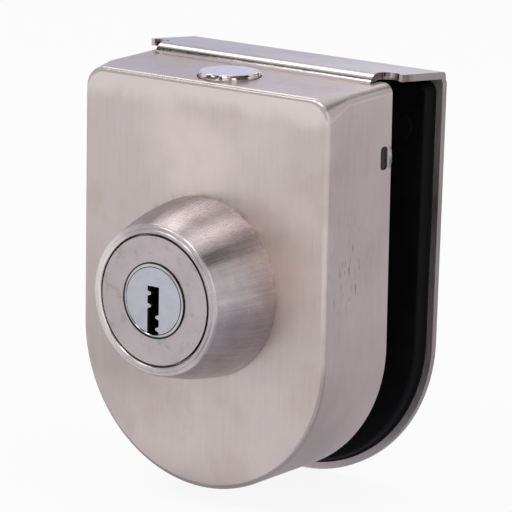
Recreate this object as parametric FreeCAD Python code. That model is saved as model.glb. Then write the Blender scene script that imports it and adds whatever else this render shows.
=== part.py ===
import FreeCAD, Part
import math
import os
from FreeCAD import Vector

# Glass door lock: a key cylinder throws a round bolt, and a bent sheet clamp holds it on a glass edge.
# Millimetres. X runs to the right, Y away from the viewer, Z up.
# Pieces are drawn from the cover's front face (y = 0) and its lowest point (z = 0).
# They are written moved, so that the origin lies in the middle of the glass edge in its seat.

# How far a cut reaches past the surface it starts from, and the distance within which two points are the same
cut_over = 1.0
same_place = 1e-6

# Cover: deep drawn sheet with a flat top, straight sides and a half round bottom
cover_width = 72.0
cover_depth = 25.5
cover_wall = 1.2
cover_front_corner_radius = 6.0
cover_rear_corner_radius = 2.5
cover_corner_run = 8.0
cover_top_rise = 0.55
cover_edge_radius = 1.2
cover_inner_edge_radius = 0.4

# Clamp: one sheet bent into a U over the edge of the glass
sheet_thickness = 1.7
base_plate_inset = 1.9
base_plate_clearance = 0.3
neck_inset = 4.1
neck_clearance = 0.2
jaw_opening = 18.7
plate_side_overhang = 1.7
plate_bottom_overhang = 4.0
plate_lean = 1.4
bridge_start = 2.0
bridge_rise = 2.5
bridge_slope = 5.5
front_bend_radius = 1.6
rear_bend_radius = 0.3
rear_bend_outer_radius = 1.2
relief_radius = 2.3
relief_depth = 1.6
bridge_side_step = 0.35
back_plate_top_gap = 0.6
back_plate_corner_radius = 1.5
plate_corner_radius = 3.0

# Snap ears of the clamp in the slots of the cover
ear_height = 4.8
ear_recess = 0.3
ear_below_top = 16.9
slot_height_clearance = 0.4
slot_front_gap = 0.65
slot_rear_gap = 0.4
slot_corner_radius = 1.0

# Rubber pads and the plate that the set screws push
glass_thickness = 10.0
rear_pad_thickness = 3.0
rear_pad_margin = 1.7
rear_pad_edge_radius = 1.2
rear_pad_top_gap = 0.8
pressure_plate_thickness = 1.5
pressure_plate_gap = 0.4
pressure_plate_margin = 1.8
pressure_pad_thickness = 2.0
pressure_pad_margin = 1.0
pressure_plate_top_gap = 5.0
screw_seat_depth = 0.5

# Set screws that press the plate, and their nuts
clamp_screw_diameter = 6.0
clamp_screw_length = 12.0
clamp_screw_clearance = 0.05
clamp_nut_flats = 10.0
clamp_nut_height = 5.0
clamp_nut_wall_gap = 1.0
clamp_nut_frame_gap = 1.2
upper_screws_above_cylinder = 10.4
hex_socket_flats = 3.0
hex_socket_depth = 3.5

# Key cylinder, its collar and its face disc
cylinder_z = 49.6
collar_height = 18.7
collar_base_radius = 21.9
collar_middle_radius = 20.7
collar_middle_share = 0.45
collar_rim_width = 2.4
collar_bead_width = 1.2
collar_wall = 1.6
collar_bore_radius = 15.9
collar_seat_width = 2.2
collar_shoulder_thickness = 2.0
rim_bead_height = 0.7
rim_shoulder_height = 1.3
rim_crease_depth = 0.35
disc_thickness = 1.2
disc_recess = 0.3
disc_edge_gap = 0.45
barrel_wall = 2.5
barrel_rim_width = 1.15
barrel_head_proud = 0.2
barrel_head_edge = 0.5
barrel_flat_depth = 0.8
barrel_flange_gap = 0.7
barrel_flange_thickness = 2.0
barrel_hole_clearance = 0.2
nut_wall = 3.0
nut_height = 4.0
washer_overhang = 0.5
washer_thickness = 0.5

# Plug with its keyway and wafers
plug_head_radius = 8.0
plug_head_depth = 2.0
plug_recess = 0.15
plug_radius = 6.5
plug_clearance = 0.05
keyway_width = 3.4
keyway_top = 3.5
keyway_run_out = 0.5
keyway_rear_wall = 5.0
keyway_ward_depth = 5.5
ward_depth = 1.0
ward_height = 1.3
ward_tip_height = 0.5
left_wards_below_top = (1.8, 4.8)
right_wards_below_top = (7.3, 10.2)
wafer_count = 5
wafer_thickness = 1.0
wafer_pitch = 2.6
wafer_first = 4.4
wafer_half_width = 3.4
wafer_travel = 0.8
wafer_clearance = 0.05
wafer_window_half_width = 1.25
wafer_window_top = 2.6
wafer_window_bottom = 3.8
wafer_arm_reach = 5.4
wafer_arm_bottom = 1.0
wafer_arm_height = 1.0
spring_radius = 0.5
spring_length = 4.0
spring_clearance = 0.1
wafer_slot_depth = 0.4
plug_neck_radius = 4.6
clip_groove_radius = 3.8
clip_radius = 8.3
clip_thickness = 1.0
clip_gap = 4.0
clip_pinion_gap = 0.85
tail_radius = 2.4
tail_flat = 1.9

# Pinion on the plug's tail and the rack that it drives
gear_module = 0.8
pinion_teeth = 11
pressure_angle = 20.0
backlash = 0.12
rack_addendum_share = 0.6
dedendum_share = 1.25
flank_steps = 4
pinion_overlap = 0.5
pinion_screw_radius = 1.0
pinion_screw_head_radius = 2.2
pinion_screw_head_height = 1.4
pinion_screw_length = 5.0
pinion_screw_slot_width = 0.6
key_turn = 180.0

# Bolt and the rack plate on its lower end
bolt_radius = 7.5
bolt_front_gap = 0.35
bolt_proud = 1.5
bolt_edge_radius = 0.9
bolt_nut_gap = 1.0
bolt_hole_clearance = 0.25
bolt_flat_depth = 3.45
bolt_flat_spare = 0.6
rack_thickness = 3.0
rack_bottom_gap = 0.3
rack_arm_left = 6.0
rack_arm_height = 10.0
rack_spare_teeth = 2
rack_screw_radius = 1.5
rack_screw_head_radius = 2.7
rack_screw_head_height = 1.6
rack_screw_length = 8.0
rack_screw_spacing = 7.0
screw_hole_clearance = 0.1

# Frame that guides the bolt and the rack
bush_wall = 0.55
bush_length = 7.8
bush_clearance = 0.05
frame_half_width = 16.4
frame_wall = 4.0
frame_bottom_wall = 4.0
frame_front_gap = 2.0
frame_side_front = 8.0
frame_top_gap = 0.5
rack_groove_depth = 1.4
rack_groove_clearance = 0.05
throw_stop_gap = 0.6
lug_thickness = 3.0
lug_reach = 8.2
lug_width = 8.0
frame_screw_radius = 2.0
frame_screw_head_radius = 3.4
frame_screw_head_height = 2.2
frame_hole_clearance = 0.15

# Worked out from the values above: the cylinder, from its front to its rear
half_width = cover_width / 2
inner_half_width = half_width - cover_wall
collar_front = -collar_height
collar_rim_radius = collar_bore_radius + collar_rim_width
barrel_radius = plug_radius + barrel_wall
barrel_flat = barrel_radius - barrel_flat_depth
barrel_head_radius = plug_head_radius + barrel_rim_width
barrel_flange_radius = collar_bore_radius - barrel_flange_gap
collar_shoulder_radius = barrel_flange_radius - collar_seat_width
nut_flats = 2 * (barrel_radius + nut_wall)
washer_radius = nut_flats / 2 + washer_overhang
barrel_front = collar_front - barrel_head_proud
disc_rear = collar_front + disc_recess + disc_thickness
flange_rear = disc_rear + barrel_flange_thickness
plug_front = barrel_front + plug_recess
plug_head_rear = plug_front + plug_head_depth

# Bolt, rack and pinion: the rack lies behind the bolt's flat, the pinion reaches past both its faces
bush_radius = bolt_radius + bush_clearance + bush_wall
bolt_y = cover_wall + bolt_front_gap + bush_radius
rack_front = bolt_y + bolt_radius - bolt_flat_depth
rack_rear = rack_front + rack_thickness
pinion_front = rack_front - pinion_overlap
pinion_rear = rack_rear + pinion_overlap
barrel_end = pinion_front - clip_pinion_gap - clip_thickness - plug_clearance
pitch_radius = gear_module * pinion_teeth / 2
tooth_pitch = math.pi * gear_module
bolt_throw = math.radians(key_turn) * pitch_radius
keyway_end = barrel_end - keyway_rear_wall

# Heights, stacked upwards from the cylinder: nut, bolt, throw, bush and the top of the cover
bolt_bottom = cylinder_z + nut_flats / math.sqrt(3) + bolt_nut_gap
rack_arm_bottom = bolt_bottom + bolt_flat_spare
rack_arm_top = rack_arm_bottom + rack_arm_height
frame_top_bottom = rack_arm_top + bolt_throw + throw_stop_gap
frame_top = frame_top_bottom + bush_length
cover_height = frame_top + frame_top_gap + cover_wall
bolt_top = cover_height + bolt_proud

# Rack and frame, downwards from the pinion
frame_front = cover_wall + frame_front_gap
rack_edge = frame_half_width - frame_wall + rack_groove_depth
rack_root = pitch_radius + dedendum_share * gear_module
rack_tip = pitch_radius - rack_addendum_share * gear_module
rack_low = cylinder_z - bolt_throw - (rack_spare_teeth + 0.5) * tooth_pitch
rack_bottom = rack_low - tooth_pitch
frame_bottom = rack_bottom - rack_bottom_gap - frame_bottom_wall

# Clamp: base plate behind the frame, then the slot for the glass and the back plate
base_rear = cover_depth - base_plate_inset
base_front = base_rear - sheet_thickness
neck_half_width = half_width - neck_inset
plate_front_top = cover_depth + jaw_opening
plate_rear_top = plate_front_top + sheet_thickness
plate_half_width = half_width + plate_side_overhang
bridge_front = cover_depth + bridge_start
bridge_front_top = cover_height + bridge_rise
slope = math.tan(math.radians(bridge_slope))
lean = math.tan(math.radians(plate_lean))
lean_inset = sheet_thickness / math.cos(math.radians(plate_lean))
bridge_drop = sheet_thickness / math.cos(math.radians(bridge_slope))
pad_front_top = plate_front_top - rear_pad_thickness
glass_y = pad_front_top - glass_thickness / 2
glass_z = bridge_front_top - (pad_front_top - bridge_front) * slope - bridge_drop
origin = Vector(0, glass_y, glass_z)

# Pressure plate and its screws, whose nuts stand clear of the cover and the frame
pressure_front = base_rear + pressure_plate_gap
pressure_rear = pressure_front + pressure_plate_thickness
pressure_pad_rear = pressure_rear + pressure_pad_thickness
clamp_screw_rear = pressure_front + screw_seat_depth
clamp_nut_radius = clamp_nut_flats / math.sqrt(3)
clamp_screw_side = inner_half_width - clamp_nut_radius - clamp_nut_wall_gap
clamp_screw_upper_z = cylinder_z + upper_screws_above_cylinder
clamp_screw_lower_z = frame_bottom - clamp_nut_frame_gap - clamp_nut_radius
clamp_screw_places = {
    "left": (-clamp_screw_side, clamp_screw_upper_z),
    "right": (clamp_screw_side, clamp_screw_upper_z),
    "bottom": (0.0, clamp_screw_lower_z),
}
frame_screw_side = frame_half_width + lug_reach / 2
frame_screw_places = [
    (side * frame_screw_side, z)
    for side in (-1, 1)
    for z in (frame_bottom + lug_width / 2, frame_top - lug_width / 2)
]


def front_view(y):
    """Point of a front view outline at depth y."""
    return lambda u, v: Vector(u, y, v)


def side_view(x):
    """Point of a side view outline at x."""
    return lambda u, v: Vector(x, u, v)


def top_view(z):
    """Point of a top view outline at height z."""
    return lambda u, v: Vector(u, v, z)


def outline(corners, place):
    """Flat face inside corners (u, v, radius), each corner rounded by a tangent arc."""
    points = []
    for index, (u, v, radius) in enumerate(corners):
        here = Vector(u, v, 0)
        before = Vector(corners[index - 1][0], corners[index - 1][1], 0) - here
        following = corners[(index + 1) % len(corners)]
        after = Vector(following[0], following[1], 0) - here
        if radius <= 0:
            points.append((here, None, here))
            continue
        before.normalize()
        after.normalize()
        half_angle = before.getAngle(after) / 2
        reach = radius / math.tan(half_angle)
        inward = before + after
        inward.normalize()
        centre = here + inward * (radius / math.sin(half_angle))
        points.append((here + before * reach, centre - inward * radius, here + after * reach))
    edges = []
    for index, (start, middle, end) in enumerate(points):
        if middle is not None:
            arc = [place(p.x, p.y) for p in (start, middle, end)]
            edges.append(Part.Arc(*arc).toShape())
        next_start = points[(index + 1) % len(points)][0]
        if (next_start - end).Length > same_place:
            edges.append(Part.makeLine(place(end.x, end.y), place(next_start.x, next_start.y)))
    return Part.Face(Part.Wire(edges))


def d_outline(half, bottom, top, corner, y):
    """Flat top, straight sides and a half round bottom, seen from the front."""
    corners = [(-half, bottom, half), (half, bottom, half), (half, top, corner), (-half, top, corner)]
    return outline(corners, front_view(y))


def plate(face, thickness):
    """Front view outline given a thickness towards the rear."""
    return face.extrude(Vector(0, thickness, 0))


def block(x0, x1, y0, y1, z0, z1):
    return Part.makeBox(x1 - x0, y1 - y0, z1 - z0, Vector(x0, y0, z0))


def rod_y(radius, y0, y1, x=0.0, z=cylinder_z):
    """Round bar along Y, on the key cylinder's axis unless told otherwise."""
    return Part.makeCylinder(radius, y1 - y0, Vector(x, y0, z), Vector(0, 1, 0))


def rod_z(radius, z0, z1, x=0.0, y=bolt_y):
    """Round bar along Z, on the bolt's axis unless told otherwise."""
    return Part.makeCylinder(radius, z1 - z0, Vector(x, y, z0), Vector(0, 0, 1))


def hexagon(flats, y0, y1, x, z):
    """Six sided bar along Y with two flats facing left and right."""
    radius = flats / math.sqrt(3)
    angles = [math.radians(30 + 60 * side) for side in range(6)]
    corners = [(x + radius * math.cos(a), z + radius * math.sin(a), 0) for a in angles]
    return plate(outline(corners, front_view(y0)), y1 - y0)


def flatted_rod(radius, flat, y0, y1):
    """Round bar along Y with a flat on its left and right side."""
    return rod_y(radius, y0, y1).common(
        block(-flat, flat, y0, y1, cylinder_z - radius, cylinder_z + radius)
    )


def edges_on(shape, test):
    """Edges whose both ends and middle pass the test."""
    found = []
    for edge in shape.Edges:
        samples = [edge.valueAt(edge.FirstParameter + share * (edge.LastParameter - edge.FirstParameter))
                   for share in (0.0, 0.5, 1.0)]
        if all(test(p) for p in samples):
            found.append(edge)
    return found


def revolved(edges):
    """Solid of a closed profile (radius along X, depth along Y) turned about the cylinder's axis."""
    face = Part.Face(Part.Wire(edges))
    solid = face.revolve(Vector(0, 0, 0), Vector(0, 1, 0), 360)
    solid.translate(Vector(0, 0, cylinder_z))
    return solid


# Cover
def cover_block(inset, rear):
    """The cover's outer form, or its inner form with an inset; its top rises towards the rear."""
    sections = (
        (inset, cover_front_corner_radius),
        (cover_corner_run, cover_rear_corner_radius),
        (rear, cover_rear_corner_radius),
    )
    wires = []
    for y, corner in sections:
        top = cover_height + cover_top_rise * y / cover_depth - inset
        wires.append(d_outline(half_width - inset, inset, top, corner - inset, y).OuterWire)
    return Part.makeLoft(wires, True, True)


def make_front_cover():
    outer = cover_block(0, cover_depth)
    outer = outer.makeFillet(cover_edge_radius, edges_on(outer, lambda p: abs(p.y) < same_place))
    inner = cover_block(cover_wall, cover_depth + cut_over)
    inner_front = edges_on(inner, lambda p: abs(p.y - cover_wall) < same_place)
    inner = inner.makeFillet(cover_inner_edge_radius, inner_front)
    shell = outer.cut(inner)
    cylinder_hole = flatted_rod(
        barrel_radius + barrel_hole_clearance, barrel_flat + barrel_hole_clearance,
        -cut_over, cover_wall + cut_over
    )
    shell = shell.cut(cylinder_hole)
    above_cover = cover_height + cover_top_rise + cut_over
    shell = shell.cut(rod_z(bolt_radius + bolt_hole_clearance, frame_top, above_cover))
    notch_half = neck_half_width + neck_clearance
    notch = block(
        -notch_half, notch_half, base_front - neck_clearance, cover_depth + cut_over,
        cover_height - cover_wall - cut_over, above_cover
    )
    shell = shell.cut(notch)
    slot_front = base_front - slot_front_gap
    slot_rear = base_rear + slot_rear_gap
    slot_height = ear_height + 2 * slot_height_clearance
    reach = half_width + cut_over
    return shell.cut(ear_bars(slot_front, slot_rear, slot_height, slot_corner_radius, reach))


def ear_bars(front, rear, height, corner, reach):
    """Two bars on one line through the sides of the cover, where the clamp's ears are."""
    middle = cover_height - ear_below_top
    low, high = middle - height / 2, middle + height / 2
    corners = [(y, z, corner) for y, z in ((front, low), (rear, low), (rear, high), (front, high))]
    bar = outline(corners, side_view(-reach)).extrude(Vector(2 * reach, 0, 0))
    return bar.cut(block(-reach / 2, reach / 2, front, rear, low, high))


# Clamp bracket: base plate in the cover, bridge over the glass edge, leaning back plate
def make_clamp_bracket():
    bottom = -plate_bottom_overhang - cut_over

    def top_corner(y, drop):
        return (y, bridge_front_top - drop - (y - bridge_front) * slope)

    def rear_line(z, inset):
        return plate_rear_top - inset - (cover_height - z) * lean

    def rear_corner(drop, inset):
        level = cover_height - bridge_front_top + drop - bridge_front * slope
        return top_corner((plate_rear_top - inset - level * lean) / (1 + slope * lean), drop)

    outer_front = top_corner(base_front, 0)
    inner_front = top_corner(base_rear, bridge_drop)
    outer_rear = rear_corner(0, 0)
    inner_rear = rear_corner(bridge_drop, lean_inset)
    profile = outline(
        [
            (base_front, bottom, 0),
            (outer_front[0], outer_front[1], front_bend_radius + sheet_thickness),
            (outer_rear[0], outer_rear[1], rear_bend_outer_radius),
            (rear_line(bottom, 0), bottom, 0),
            (rear_line(bottom, lean_inset), bottom, 0),
            (inner_rear[0], inner_rear[1], rear_bend_radius),
            (inner_front[0], inner_front[1], front_bend_radius),
            (base_rear, bottom, 0),
        ],
        side_view(-plate_half_width),
    )
    sheet = profile.extrude(Vector(2 * plate_half_width, 0, 0))
    inside_half = inner_half_width - base_plate_clearance
    base_top = cover_height - cover_wall - base_plate_clearance
    base_bottom = cover_wall + base_plate_clearance
    zone_front = base_front - cut_over
    base_outline = d_outline(inside_half, base_bottom, base_top, cover_front_corner_radius, zone_front)
    base_zone = plate(base_outline, sheet_thickness + 2 * cut_over)
    ears = ear_bars(base_front, base_rear, ear_height, 0, half_width - ear_recess)
    bridge_low = base_top
    bridge_high = bridge_front_top + cut_over
    neck_rear = bridge_front + relief_depth
    neck_zone = block(-neck_half_width, neck_half_width, zone_front, neck_rear, bridge_low, bridge_high)
    zone_rear = plate_rear_top + cut_over
    bridge_half = plate_half_width - bridge_side_step
    bridge_zone = block(-bridge_half, bridge_half, bridge_front, zone_rear, bridge_low, bridge_high)
    back_top = cover_height - back_plate_top_gap
    back_outline = d_outline(
        plate_half_width, -plate_bottom_overhang, back_top, back_plate_corner_radius, bridge_front
    )
    back_zone = plate(back_outline, zone_rear - bridge_front)
    zones = [sheet.common(zone) for zone in (base_zone, ears, neck_zone, bridge_zone, back_zone)]
    bracket = zones[0].fuse(zones[1:])
    for side in (-1, 1):
        relief_x = side * (neck_half_width + relief_radius)
        relief_y = bridge_front + relief_depth - relief_radius
        bracket = bracket.cut(rod_z(relief_radius, bridge_low, bridge_high, relief_x, relief_y))
    for x, z in clamp_screw_places.values():
        hole_radius = clamp_screw_diameter / 2 + 2 * clamp_screw_clearance
        bracket = bracket.cut(rod_y(hole_radius, base_front - cut_over, base_rear + cut_over, x, z))
    for x, z in frame_screw_places:
        bracket = bracket.cut(rod_y(frame_screw_radius, base_front - cut_over, base_rear + cut_over, x, z))
    return bracket.removeSplitter()


# Rubber pad on the back plate, leaning with it
def make_rear_pad():
    half = plate_half_width - rear_pad_margin
    bottom = -plate_bottom_overhang + rear_pad_margin
    face = d_outline(half, bottom, glass_z - rear_pad_top_gap, plate_corner_radius, 0)
    pad = plate(face, -rear_pad_thickness)
    front_edges = edges_on(pad, lambda p: abs(p.y + rear_pad_thickness) < same_place)
    pad = pad.makeFillet(rear_pad_edge_radius, front_edges)
    pad.rotate(Vector(0, 0, cover_height), Vector(1, 0, 0), -plate_lean)
    pad.translate(Vector(0, plate_rear_top - lean_inset, 0))
    return pad


# Plate that presses the glass, and its rubber pad
def make_pressure_plate():
    half = inner_half_width - pressure_plate_margin
    bottom = cover_wall + pressure_plate_margin
    top = cover_height - cover_wall - pressure_plate_top_gap
    face = d_outline(half, bottom, top, plate_corner_radius, pressure_front)
    result = plate(face, pressure_plate_thickness)
    for x, z in clamp_screw_places.values():
        seat_radius = clamp_screw_diameter / 2 + 2 * clamp_screw_clearance
        result = result.cut(rod_y(seat_radius, pressure_front - cut_over, clamp_screw_rear, x, z))
    return result


def make_pressure_pad():
    margin = pressure_plate_margin + pressure_pad_margin
    half = inner_half_width - margin
    top = cover_height - cover_wall - pressure_plate_top_gap - pressure_pad_margin
    face = d_outline(half, cover_wall + margin, top, plate_corner_radius, pressure_rear)
    return plate(face, pressure_pad_thickness)


# Set screws and their nuts
def make_clamp_screw(x, z):
    radius = clamp_screw_diameter / 2 - clamp_screw_clearance
    front = clamp_screw_rear - clamp_screw_length
    screw = rod_y(radius, front, clamp_screw_rear, x, z)
    half_length = clamp_screw_length / 2
    ends = edges_on(screw, lambda p: abs(abs(p.y - front - half_length) - half_length) < same_place)
    screw = screw.makeChamfer(screw_seat_depth, ends)
    return screw.cut(hexagon(hex_socket_flats, front - cut_over, front + hex_socket_depth, x, z))


def make_clamp_nuts():
    nuts = []
    for x, z in clamp_screw_places.values():
        front = base_front - clamp_nut_height
        nut = hexagon(clamp_nut_flats, front, base_front, x, z)
        bore = rod_y(clamp_screw_diameter / 2, front - cut_over, base_front + cut_over, x, z)
        nuts.append(nut.cut(bore))
    return Part.makeCompound(nuts)


# Collar: convex tapered shell with a rolled rim and an inner shoulder
def make_collar():
    seat = flange_rear
    shoulder_rear = seat + collar_shoulder_thickness
    crease_radius = collar_bore_radius + collar_bead_width
    crease_y = collar_front + rim_crease_depth

    def at(radius, y):
        return Vector(radius, y, 0)

    side = Part.Arc(
        at(collar_base_radius, 0),
        at(collar_middle_radius, collar_front * collar_middle_share),
        at(collar_rim_radius, collar_front + rim_shoulder_height)
    ).toShape()
    half_crease = rim_crease_depth / 2
    shoulder = Part.Arc(
        at(collar_rim_radius, collar_front + rim_shoulder_height),
        at((collar_rim_radius + crease_radius) / 2 + half_crease, crease_y + half_crease),
        at(crease_radius, crease_y)
    ).toShape()
    bead = Part.Arc(
        at(crease_radius, crease_y),
        at(collar_bore_radius + collar_bead_width / 2, collar_front),
        at(collar_bore_radius, collar_front + rim_bead_height)
    ).toShape()
    inner = Part.Arc(
        at(collar_bore_radius, shoulder_rear),
        at(collar_middle_radius - collar_wall, collar_front * collar_middle_share),
        at(collar_base_radius - collar_wall, 0)
    ).toShape()
    edges = [
        side,
        shoulder,
        bead,
        Part.makeLine(at(collar_bore_radius, collar_front + rim_bead_height), at(collar_bore_radius, seat)),
        Part.makeLine(at(collar_bore_radius, seat), at(collar_shoulder_radius, seat)),
        Part.makeLine(at(collar_shoulder_radius, seat), at(collar_shoulder_radius, shoulder_rear)),
        Part.makeLine(at(collar_shoulder_radius, shoulder_rear), at(collar_bore_radius, shoulder_rear)),
        inner,
        Part.makeLine(at(collar_base_radius - collar_wall, 0), at(collar_base_radius, 0)),
    ]
    return revolved(edges)


def make_collar_face_disc():
    disc = rod_y(collar_bore_radius - disc_edge_gap, collar_front + disc_recess, disc_rear)
    return disc.cut(rod_y(barrel_head_radius + plug_clearance, barrel_front, disc_rear + cut_over))


# Barrel of the key cylinder
def make_cylinder_barrel():
    head = rod_y(barrel_head_radius, barrel_front, disc_rear)
    plug_head_seat = rod_y(plug_head_radius + plug_clearance, barrel_front - cut_over, plug_head_rear)
    head = head.cut(plug_head_seat)
    head = head.makeFillet(barrel_head_edge, edges_on(head, lambda p: abs(p.y - barrel_front) < same_place))
    flange = rod_y(barrel_flange_radius, disc_rear, flange_rear)
    body = flatted_rod(barrel_radius, barrel_flat, flange_rear, barrel_end)
    barrel = head.fuse([flange, body]).removeSplitter().cut(plug_head_seat)
    barrel = barrel.cut(rod_y(plug_radius + plug_clearance, plug_head_rear - cut_over, barrel_end + cut_over))
    slot_half_width = wafer_half_width + 2 * wafer_clearance
    slot_half_height = plug_radius + wafer_travel + wafer_slot_depth
    slot_front = wafer_front(0) - wafer_thickness
    slot_rear = wafer_front(wafer_count - 1) + 2 * wafer_thickness
    return barrel.cut(
        block(
            -slot_half_width, slot_half_width, slot_front, slot_rear,
            cylinder_z - slot_half_height, cylinder_z + slot_half_height
        )
    )


def wafer_front(index):
    return plug_front + wafer_first + index * wafer_pitch


def make_cylinder_nut():
    front = cover_wall + washer_thickness
    nut = hexagon(nut_flats, front, front + nut_height, 0, cylinder_z)
    return nut.cut(rod_y(barrel_radius, front - cut_over, front + nut_height + cut_over))


def make_cylinder_washer():
    washer = rod_y(washer_radius, cover_wall, cover_wall + washer_thickness)
    return washer.cut(rod_y(barrel_radius + barrel_hole_clearance, 0, cover_wall + cut_over))


# Plug: head, body with keyway and wafer slots, neck for the clip, flatted tail for the pinion
def make_key_plug():
    plug = rod_y(plug_head_radius, plug_front, plug_head_rear - plug_clearance)
    plug = plug.fuse([
        rod_y(plug_radius, plug_front, barrel_end),
        rod_y(plug_neck_radius, barrel_end, pinion_front),
        flatted_rod(tail_radius, tail_flat, pinion_front, pinion_rear),
    ]).removeSplitter()
    plug = plug.cut(clip_ring(clip_groove_radius, clip_radius, 0))
    plug = plug.cut(plate(keyway_face(plug_front - cut_over), keyway_end - plug_front + cut_over))
    plug = plug.cut(
        block(
            -keyway_width / 2, keyway_width / 2, plug_head_rear, keyway_end,
            cylinder_z - plug_head_radius, cylinder_z - keyway_ward_depth
        )
    )
    for index in range(wafer_count):
        front = wafer_front(index) - wafer_clearance
        rear = wafer_front(index) + wafer_thickness + wafer_clearance
        half = wafer_half_width + wafer_clearance
        reach = wafer_arm_reach + 2 * wafer_clearance
        arm_low = cylinder_z + wafer_arm_bottom
        arm_high = arm_low + wafer_arm_height + wafer_travel + spring_clearance
        plug = plug.cut(block(-half, half, front, rear, cylinder_z - plug_radius, cylinder_z + plug_radius))
        plug = plug.cut(block(0, reach, front, rear, arm_low - spring_clearance, arm_high))
        x, y = spring_place(index)
        pocket = rod_z(
            spring_radius + spring_clearance, arm_low - spring_length, arm_low, x, y
        )
        plug = plug.cut(pocket)
    tapped = rod_y(pinion_screw_radius, pinion_rear - pinion_screw_length, pinion_rear + cut_over)
    return plug.cut(tapped)


def keyway_face(y):
    """Keyway with two wards on its left and two lower ones on its right, open at the bottom of the plug."""
    half = keyway_width / 2
    top = cylinder_z + keyway_top
    bottom = cylinder_z - plug_head_radius - keyway_run_out
    steps = [
        (0, -ward_height / 2), (ward_depth, -ward_tip_height / 2),
        (ward_depth, ward_tip_height / 2), (0, ward_height / 2),
    ]
    corners = [(-half, bottom, 0), (half, bottom, 0)]
    for below_top in reversed(right_wards_below_top):
        corners += [(half - depth, top - below_top + height, 0) for depth, height in steps]
    corners += [(half, top, 0), (-half, top, 0)]
    for below_top in left_wards_below_top:
        corners += [(depth - half, top - below_top - height, 0) for depth, height in steps]
    return outline(corners, front_view(y))


def spring_place(index):
    x = wafer_arm_reach - spring_radius
    return x, wafer_front(index) + wafer_thickness / 2


def make_wafers():
    wafers = []
    for index in range(wafer_count):
        front = wafer_front(index)
        rear = front + wafer_thickness
        wafer = flatted_rod(plug_radius - wafer_clearance, wafer_half_width, front, rear)
        arm_low = cylinder_z + wafer_arm_bottom
        wafer = wafer.fuse(block(0, wafer_arm_reach, front, rear, arm_low, arm_low + wafer_arm_height))
        window = block(
            -wafer_window_half_width, wafer_window_half_width, front - cut_over, rear + cut_over,
            cylinder_z - wafer_window_bottom, cylinder_z + wafer_window_top
        )
        wafers.append(wafer.cut(window).removeSplitter())
    return Part.makeCompound(wafers)


def make_wafer_springs():
    springs = []
    for index in range(wafer_count):
        x, y = spring_place(index)
        top = cylinder_z + wafer_arm_bottom
        springs.append(rod_z(spring_radius, top - spring_length, top, x, y))
    return Part.makeCompound(springs)


def clip_ring(inner, outer, gap):
    """Open ring behind the barrel's end; a gap of zero gives the whole ring."""
    front = barrel_end + plug_clearance
    rear = front + clip_thickness
    ring = rod_y(outer, front, rear).cut(rod_y(inner, front - cut_over, rear + cut_over))
    if gap > 0:
        opening = block(-gap / 2, gap / 2, front - cut_over, rear + cut_over, cylinder_z - outer, cylinder_z)
        ring = ring.cut(opening)
    return ring


# Pinion with involute teeth, one tooth pointing right at rest
def make_drive_pinion():
    base_radius = pitch_radius * math.cos(math.radians(pressure_angle))
    tip_radius = pitch_radius + gear_module
    root_radius = pitch_radius - dedendum_share * gear_module

    def unwound(radius):
        angle = math.acos(base_radius / radius)
        return math.tan(angle) - angle

    half_tooth = (tooth_pitch / 2 - backlash / 2) / (2 * pitch_radius)
    radii = [base_radius + (tip_radius - base_radius) * step / flank_steps for step in range(flank_steps + 1)]
    flank = [(r, half_tooth + unwound(pitch_radius) - unwound(r)) for r in radii]
    flank.insert(0, (root_radius, flank[0][1]))
    corners = []
    for tooth in range(pinion_teeth):
        middle = 2 * math.pi * tooth / pinion_teeth
        one_tooth = [(r, middle - a) for r, a in flank] + [(r, middle + a) for r, a in reversed(flank)]
        corners += [(r * math.cos(a), cylinder_z + r * math.sin(a), 0) for r, a in one_tooth]
    pinion = plate(outline(corners, front_view(pinion_front)), pinion_rear - pinion_front)
    return pinion.cut(flatted_rod(tail_radius, tail_flat, pinion_front - cut_over, pinion_rear + cut_over))


def make_pinion_screw():
    head = rod_y(pinion_screw_head_radius, pinion_rear, pinion_rear + pinion_screw_head_height)
    shank = rod_y(pinion_screw_radius, pinion_rear - pinion_screw_length, pinion_rear)
    slot = block(
        -pinion_screw_head_radius, pinion_screw_head_radius, pinion_rear + pinion_screw_head_height / 2,
        pinion_rear + pinion_screw_head_height + cut_over, cylinder_z - pinion_screw_slot_width / 2,
        cylinder_z + pinion_screw_slot_width / 2
    )
    return head.fuse(shank).cut(slot).removeSplitter()


# Bolt, flattened behind its lower end
def make_bolt():
    bolt = rod_z(bolt_radius, bolt_bottom, bolt_top)
    bolt = bolt.makeFillet(bolt_edge_radius, edges_on(bolt, lambda p: abs(p.z - bolt_top) < same_place))
    behind = block(
        -2 * bolt_radius, 2 * bolt_radius, rack_front, rack_front + 2 * bolt_radius,
        bolt_bottom - cut_over, rack_arm_top + bolt_flat_spare
    )
    bolt = bolt.cut(behind)
    for x, z in rack_screw_places():
        bolt = bolt.cut(rod_y(rack_screw_radius, rack_rear - rack_screw_length, rack_front + cut_over, x, z))
    return bolt


def rack_screw_places():
    middle = (rack_arm_bottom + rack_arm_top) / 2
    return [(-rack_screw_spacing / 2, middle), (rack_screw_spacing / 2, middle)]


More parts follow.
